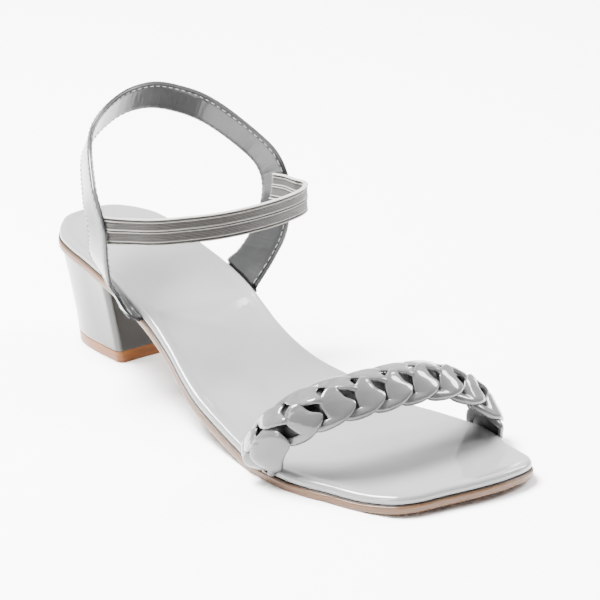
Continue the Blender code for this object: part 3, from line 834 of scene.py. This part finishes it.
def makeAnkleStrap():
    columns = [-1 + 2 * k / 8 for k in range(9)]
    rows = strapRows(strapFeet, ankleStations(), columns, ankle["thick"])
    rows, places = evenRows(rows, 0.7 * mm)
    sagPlace, sagReach = ankle["sagAt"]
    sagFrom, sagOver = ankle["sagAcross"]
    for row, place in zip(rows, places):
        sag = Vector(ankle["sag"]) * mm * hump(place, sagPlace * mm, sagReach * mm)
        for k, v in enumerate(columns):
            row[k] = row[k] + sag * ease((v - sagFrom) / sagOver)
    normals = outwardNormals(rows)
    total = places[-1]
    half = ankle["thick"] / 2
    tuck = lastedEnd["tuck"] + 1.2 * mm

    def thinned(number):
        return 0.5 + 0.5 * ease((min(places[number], total - places[number]) - tuck) / (3 * mm))

    relief = ankleRelief(total)
    rings, lay = wallRings(rows, normals, places, half, -0.25 * half, 0.0, relief)
    for number, ring in enumerate(rings):  # skived where it passes under the footbed
        share = thinned(number)
        if share < 1:
            middle = rows[number]
            count = len(middle)
            for k in range(len(ring)):
                column = k if k < count else 2 * count - 2 - k
                ring[k] = middle[column].lerp(ring[k], share)
    skinPiece("ankleStrapUpper", rings, lay, "ankle_strap", strapPatent)

    liningFrom = tuck + 1.5 * mm
    keep = [k for k, place in enumerate(places) if liningFrom < place < total - liningFrom]
    kept = [[values[k] for k in keep] for values in (rows, normals, places)]
    rings, lay = wallRings(*kept, -0.20 * half, -half, 0.35 * mm, relief)
    skinPiece("ankleStrapLining", rings, lay, "ankle_strap", liningLeather)

    bm = bmesh.new()
    first, proud = tuck + ankle["seamFrom"] * mm, half + ankle["proud"] * mm
    for way in (-1, 1):
        for offset in (proud, -proud):
            seamStitches(bm, rows, normals, places, way, offset, first, total - first)
    addPiece("ankleStrapStitches", bm, sewingThread)


makeAnkleStrap()
print("ankle strap made")


# instep elastic

elastic = {
    "width": 0.0105, "thick": 0.0014,
    "swing": 0.0222,  # it bows this far forwards
    "tuck": 0.0080,  # sewn behind the strap over this length
    "lateralAt": 2.90, "medialAt": 12.0,  # rows of ankleRun where it meets the strap
    # ribs from the lower to the upper edge: share across, half width and height in millimetres
    "cords": [(-0.95, 0.30, 0.42), (-0.72, 0.20, 0.25), (-0.06, 0.24, 0.36), (0.12, 0.24, 0.36),
              (0.70, 0.22, 0.30), (0.95, 0.32, 0.46)],
    "bands": [(-0.39, 0.30, 0.22), (0.41, 0.26, 0.22)],  # padded ribbed bands between the cords
    "floor": -0.22,  # webbing between the ribs
    "bandRise": 0.10, "bandRibs": (0.05, 0.32),  # ribs on the bands: height and spacing
    "points": 97,  # points across each face, so that the ribs are real shapes
    "edge": 0.93,  # its edges are rounded from this share across
}

# share across between the strap's arms, share of the swing
elasticRun = [
    (0.055, 0.24), (0.150, 0.56), (0.280, 0.78), (0.420, 0.94), (0.575, 1.00), (0.715, 0.98),
    (0.840, 0.90), (0.935, 0.78), (0.995, 0.62), (1.020, 0.44), (1.010, 0.24),
]


ankleMiddles, ankleHalves = zip(*ankleStations())


def onStrap(t, v):
    return through(ankleMiddles, t - 1) + through(ankleHalves, t - 1) * v


def tucked(t, back, columns):
    # row of the elastic behind the strap, pressed on the strap's inside
    step = 0.05
    centre = onStrap(t, 1)
    ahead = (onStrap(t + step, 0) - onStrap(t - step, 0)) / (2 * step)
    front = onStrap(t, 1) - onStrap(t, 0)
    inside = ahead.cross(front).normalized()
    if inside.dot(Vector((0, centre.y, centre.z)) - centre) < 0:
        inside = -inside
    off = inside * (ankle["thick"] / 2 + shoe["gap"] + elastic["thick"] / 2)
    row = []
    for v in columns:
        shift = Vector((0, back, v * elastic["width"] / 2))
        place = t + shift.dot(ahead) / ahead.length_squared
        row.append(onStrap(place, 1 + shift.dot(front) / front.length_squared) + off)
    middle = (row[0] + row[-1]) / 2
    stretch = elastic["width"] / (row[-1] - row[0]).length
    return [middle + (point - middle) * stretch for point in row]


def elasticRelief(place, across, half):
    v = across / half
    lift = low = elastic["floor"]
    ribHigh, ribWide = elastic["bandRibs"]
    for at, wide, high in elastic["cords"]:
        gap = (v - at) * half / (wide * mm)
        if abs(gap) < 1:
            lift = max(lift, low + (high - low) * math.sqrt(1 - gap * gap))
    for at, wide, high in elastic["bands"]:
        gap = abs(v - at) / wide
        if gap < 1:
            ribs = ribHigh * math.cos(v * half / (ribWide * mm) * math.pi)
            lift = max(lift, low + (high + elastic["bandRise"]) * (1 - gap ** 6) + ribs)
    return lift * mm


def makeElastic():
    columns = [-1 + 2 * k / 6 for k in range(7)]
    backs = (elastic["tuck"], elastic["tuck"] / 2, 0.0)
    start = [tucked(elastic["lateralAt"], back, columns) for back in backs]
    end = [tucked(elastic["medialAt"], back, columns) for back in backs[::-1]]
    left = (start[-1][0] + start[-1][-1]) / 2
    right = (end[0][0] + end[0][-1]) / 2
    stations = list(start)
    for across, swing in elasticRun:
        middle = left.lerp(right, across) - Vector((0, swing * elastic["swing"], 0))
        stations.append([middle + up * v * elastic["width"] / 2 for v in columns])
    rows, places = evenRows(rowsThrough(stations + end), 0.7 * mm)
    fine = elastic["points"]
    wide = [[through(row, (len(row) - 1) * k / (fine - 1)) for k in range(fine)] for row in rows]
    normals = outwardNormals(wide)
    half = elastic["thick"] / 2 + elastic["floor"] * mm
    rim = 1 - elastic["edge"]
    rings, lay = [], []
    for r, row in enumerate(wide):
        width = (row[-1] - row[0]).length / 2
        over, under, marks = [], [], []
        for k, point in enumerate(row):
            v = -1 + 2 * k / (fine - 1)
            lift = elasticRelief(places[r], v * width, width)
            edge = math.sqrt(max(1 - (max(abs(v) - elastic["edge"], 0.0) / rim) ** 2, 0.0))
            over.append(point + normals[r][k] * (half + lift) * edge)
            under.append(point - normals[r][k] * (half + lift) * edge)
            marks.append((places[r], v * width))
        rings.append(over + under[-2:0:-1])
        lay.append(marks + marks[-2:0:-1])
    band = skinPiece("instepElastic", rings, lay, "instep_elastic", elasticWebbing)
    band.data.materials.append(paleCord)
    marks = band.data.attributes["lay"].data
    half = elastic["width"] / 2
    for face in band.data.polygons:  # the cords are paler than the webbing
        across = sum(marks[v].vector.y for v in face.vertices) / len(face.vertices)
        if any(abs(across - at * half) < wide * mm * 0.95 for at, wide, high in elastic["cords"]):
            face.material_index = 1


makeElastic()
print("instep elastic made")


# braided vamp strap: three padded strips that wave from edge to edge over and under each other

braid = {
    "width": 0.0215, "wall": 0.0022, "height": 0.0304, "forward": 0.0250,
    "turns": 3.8,  # full waves of each strip from foot to foot
    "phase": 0.01,  # place of the first link, in waves
    "from": 0.35,  # strips start at this share of the lasted end
    "leafStrip": 2,  # the strip whose first link is the leaf
    "footThick": 0.5,  # shares of thickness and width that are left at the feet
    "footWide": 0.75,
    "square": 0.8,  # under 1 makes a strip's section squarer
    # all further lengths are in millimetres
    "tableWave": 36.6,  # one wave in the table of a link
    "stripThick": 2.1,
    "bunched": 0.5,  # thicker where a strip is narrow
    "narrow": (1.4, 2.0),  # half width there, and how far from it this ends
    "middle": 2.5,  # plait's middle over the middle of the wall
    "crown": 2.8,  # the plait's edges droop this much
    "foot": 11.0,  # the plait flattens over this length at each foot
    "shadeTape": 8.0,  # half width of the dark strip inside the plait, painted shade in the holes between the strips
    "shadeTapeFrom": 4.0,  # the dark strip starts this far after the strips
    "shadeTapeLifts": (-1.15, -0.75, -0.60),  # its underside, edges and middle over the wall's middle
}

# across, up, forward, direction of the front edge in x and z
braidRun = [
    (-0.008, 0.36, 0.20, 0.00, -0.04), (0.012, 0.59, 0.44, 0.06, -0.16), (0.060, 0.78, 0.66, 0.08, -0.27),
    (0.140, 0.92, 0.83, 0.08, -0.34), (0.240, 0.98, 0.94, 0.04, -0.36), (0.365, 1.00, 1.00, 0.00, -0.36),
    (0.500, 0.99, 1.01, -0.02, -0.35), (0.640, 0.95, 1.01, -0.06, -0.34), (0.765, 0.85, 1.00, -0.12, -0.34),
    (0.878, 0.66, 1.00, -0.18, -0.30), (0.955, 0.44, 1.02, -0.14, -0.20), (0.994, 0.25, 1.04, -0.04, -0.06),
]


def braidStations():
    # middle of the plait and half its width, as vectors, from foot to foot
    out = shoe["gap"] + braid["wall"] / 2
    left = beside(lateral, sum(braidFeet[lateral]) / 2 * shoe["length"], out, 0)
    right = beside(medial, sum(braidFeet[medial]) / 2 * shoe["length"], out, 0)
    run = []
    for across, rise, forward, x, z in braidRun:
        middle = Vector((mix(left.x, right.x, across), left.y - forward * braid["forward"], 0))
        middle.z = shoe["outsole"] + rise * braid["height"]
        run.append((middle, Vector((x, -1, z)).normalized() * braid["width"] / 2))
    return run


braidColumns = [-1 + 2 * k / 8 for k in range(9)]
braidRows = strapRows(braidFeet, braidStations(), braidColumns, braid["wall"])
braidRows, braidPlaces = evenRows(braidRows, 0.5 * mm)
braidNormals = outwardNormals(braidRows)


def onBraid(place, across, lift):
    # point at a place along the braid, across it and over its middle surface, all in metres
    last = len(braidRows) - 1
    r = min(max(place / braidPlaces[-1] * last, 0.0), last - 0.001)
    half = (braidRows[int(r)][-1] - braidRows[int(r)][0]).length / 2
    v = across / (braid["width"] / 2)
    spread = min(max(v, -1.0), 1.0)
    point, normal = pointOn(braidRows, braidNormals, r, spread)
    i, k = int(r), (0 if v < 0 else len(braidColumns) - 2)
    outward = (braidRows[i][k + 1] - braidRows[i][k]).normalized()
    return point + outward * (v - spread) * half + normal * lift


# half a wave of a strip, from under the plait's middle, round its edge and back over the middle:
# along, across and height of the outer edge, then of the inner edge, in millimetres
linkTable = [
    (-14.8, 6.4, -1.8, -11.6, 3.6, -2.0), (-12.2, 9.4, -1.8, -10.0, 5.8, -2.0),
    (-7.8, 10.7, -1.1, -8.0, 6.9, -1.7), (-1.5, 10.6, -0.2, -5.6, 7.6, -1.0),
    (3.6, 8.8, 0.7, -5.3, 6.6, -0.2), (6.1, 6.0, 0.9, -5.0, 4.6, 0.9),
    (4.0, 3.4, 1.2, -4.4, 2.6, 1.7), (3.5, 1.0, 1.6, -3.2, 0.6, 2.3),
    (3.7, -1.2, 1.6, -0.2, -1.6, 2.4), (4.7, -2.8, -1.0, 2.4, -2.8, 0.3),
]


# the link at the outer foot starts there as a long leaf over the footbed's edge
leafTable = [
    (-15.9, 12.6, 0.0, -17.0, 11.2, 0.0), (-11.6, 12.9, 0.8, -14.9, 8.0, 1.6),
    (-4.6, 11.8, 0.8, -10.9, 2.4, 2.8), (1.4, 9.3, 0.8, -6.6, -0.7, 2.4),
    (3.9, 3.6, 1.2, -3.0, -1.6, 2.2), (4.7, -2.8, -1.0, 2.4, -2.8, 0.3),
]


def stripEdges(number, start, wave):
    # the outer edge of a link at the toe is the inner edge of the next one, at the heel
    stretch = wave / braid["tableWave"]
    leaf = number == braid["leafStrip"]
    edges = ([], [])
    for half in range(0 if leaf else -2, round(2 * braid["turns"]) + 3):
        middle = start + wave * (number / 3 + braid["phase"] + half / 2)
        way = 1 if half % 2 == 0 else -1
        for row in leafTable if leaf and half == 0 else linkTable:
            outer = Vector((middle + row[0] * stretch, way * row[1] * mm, row[2] * mm))
            inner = Vector((middle + row[3] * stretch, way * row[4] * mm, row[5] * mm))
            edges[0].append(outer if way > 0 else inner)
            edges[1].append(inner if way > 0 else outer)
    return edges


def makeStrip(number, start, end, wave):
    each, around = 8, 32  # rings from one row of the table to the next, points in a ring
    foot, square = braid["foot"] * mm, braid["square"]
    narrow, reach = braid["narrow"]
    first, second = stripEdges(number, start, wave)
    rings, lay, run, before = [], [], 0.0, None
    for k in range((len(first) - 1) * each):
        one, other = through(first, k / each), through(second, k / each)
        centre = (one + other) / 2
        if not start <= centre.x <= end:
            continue
        ahead = through(first, k / each + 0.1) + through(second, k / each + 0.1) - one - other
        side = (other - one) / 2
        normal = side.cross(ahead).normalized()
        run += (centre - before).length if before else 0.0
        before = centre
        fade = ease((centre.x - start) / foot) * ease((end - centre.x) / foot)
        wide = side.length
        bunched = braid["bunched"] * hump(wide, narrow * mm, reach * mm)
        thick = (braid["stripThick"] + bunched) * mm / 2 * mix(braid["footThick"], 1.0, fade)
        ring, marks = [], []
        for j in range(around):
            a = 2 * math.pi * j / around
            c, s = math.cos(a), math.sin(a)
            w = math.copysign(abs(c) ** square, c)
            h = math.copysign(abs(s) ** square, s) * thick
            spot = centre + side * w + normal * h
            droop = braid["crown"] * mm * (spot.y / (braid["width"] / 2)) ** 2
            height = (spot.z - droop + braid["middle"] * mm) * fade
            across = spot.y * mix(braid["footWide"], 1.0, fade)
            ring.append(onBraid(spot.x, across, height + h * (1 - fade)))
            marks.append((run, w * wide))
        rings.append(ring)
        lay.append(marks)
    skinPiece("braidStrip%d" % (number + 1), rings, lay, "vamp_braid", braidPatent)


# near-black strip inside the plait: painted shade, so that the holes between the strips look deep
def makeHoleShade(start, end):
    steps, half = 160, braid["shadeTape"] * mm
    under, edge, top = braid["shadeTapeLifts"]
    corners = [(-half, under), (-half, edge), (0, top), (half, edge), (half, under), (0, under)]
    rings = []
    for k in range(steps + 1):
        place = mix(start, end, k / steps)
        rings.append([onBraid(place, across, lift * mm) for across, lift in corners])
    skinPiece("braidHoleShade", rings, None, "vamp_braid", holeShadeTape)


def makeBraid():
    start = lastedEnd["tuck"] * braid["from"]
    end = braidPlaces[-1] - start
    makeHoleShade(start + braid["shadeTapeFrom"] * mm, end - braid["shadeTapeFrom"] * mm)
    for number in range(3):
        makeStrip(number, start, end, (end - start) / braid["turns"])


makeBraid()
print("braid made")


# floor, lights, camera

studio = {
    "floor": (0.96, 0.955, 0.948),
    # place, width and height in metres, watts
    "lamps": {
        "topSoftbox": ((-0.35, 0.35, 1.4), (0.8, 0.6), 230),
        "leftSoftbox": ((-1.5, -0.3, 0.9), (0.35, 1.2), 18),
        "rightSoftbox": ((1.5, -0.5, 1.1), (0.4, 0.9), 62),
    },
    "bright": (1.0, 1.0, 1.0),  # wall behind the shoe
    "dim": (0.10, 0.10, 0.105),  # room behind the camera
    "brightWay": (0.35, 0.85, 0.40),  # direction of the bright wall
    "roomPower": 1.7,
    "aim": (0.0, -0.085, 0.045),
    "camera": (-0.6431, -0.96665, 0.44175),
    "lens": 187.0,
    "turn": -37.04,
    "tilt": -20.16,
    "roll": -0.755,
}


def addFloor():
    bm = bmesh.new()
    bmesh.ops.create_grid(bm, x_segments=1, y_segments=1, size=6.0)
    finish = newFinish("floorPaint", studio["floor"], 0.55)[0]
    floor = newObject("paleFloor", newMesh("paleFloor", bm, finish))


def addLight(name, place, size, power):
    data = bpy.data.lights.new(name, "AREA")
    data.shape = "RECTANGLE"
    data.size, data.size_y = size
    data.energy = power
    lamp = newObject(name, data)
    lamp.location = place
    lamp.rotation_euler = (Vector(studio["aim"]) - Vector(place)).to_track_quat("-Z", "Y").to_euler()


def addRoom():
    # pale sweep behind the shoe that darkens towards the camera's side of the studio
    world = bpy.data.worlds.new("studioRoom")
    world.use_nodes = True
    tree = world.node_tree
    background = tree.nodes["Background"]
    facing = addNode(tree, "ShaderNodeVectorMath", operation="DOT_PRODUCT")
    tree.links.new(addNode(tree, "ShaderNodeTexCoord").outputs["Generated"], facing.inputs[0])
    facing.inputs[1].default_value = Vector(studio["brightWay"]).normalized()
    shifted = addNode(tree, "ShaderNodeMapRange")
    shifted.inputs["From Min"].default_value = -0.6
    tree.links.new(facing.outputs["Value"], shifted.inputs["Value"])
    ramp = newRamp(tree, shifted.outputs["Result"], studio["dim"], studio["bright"], 0.0, 0.75, "EASE")
    tree.links.new(ramp, background.inputs["Color"])
    background.inputs["Strength"].default_value = studio["roomPower"]
    bpy.context.scene.world = world


addFloor()
for name, values in studio["lamps"].items():
    addLight(name, *values)
addRoom()

cameraData = bpy.data.cameras.new("photoCamera")
cameraData.lens = studio["lens"]
cameraData.sensor_width = 36.0
camera = newObject("photoCamera", cameraData)
camera.location = studio["camera"]
turn = Matrix.Rotation(math.radians(studio["turn"]), 3, "Z")
turn = turn @ Matrix.Rotation(math.radians(90 + studio["tilt"]), 3, "X")
camera.rotation_euler = (turn @ Matrix.Rotation(math.radians(studio["roll"]), 3, "Z")).to_euler()
bpy.context.scene.camera = camera
print("camera and lights set")
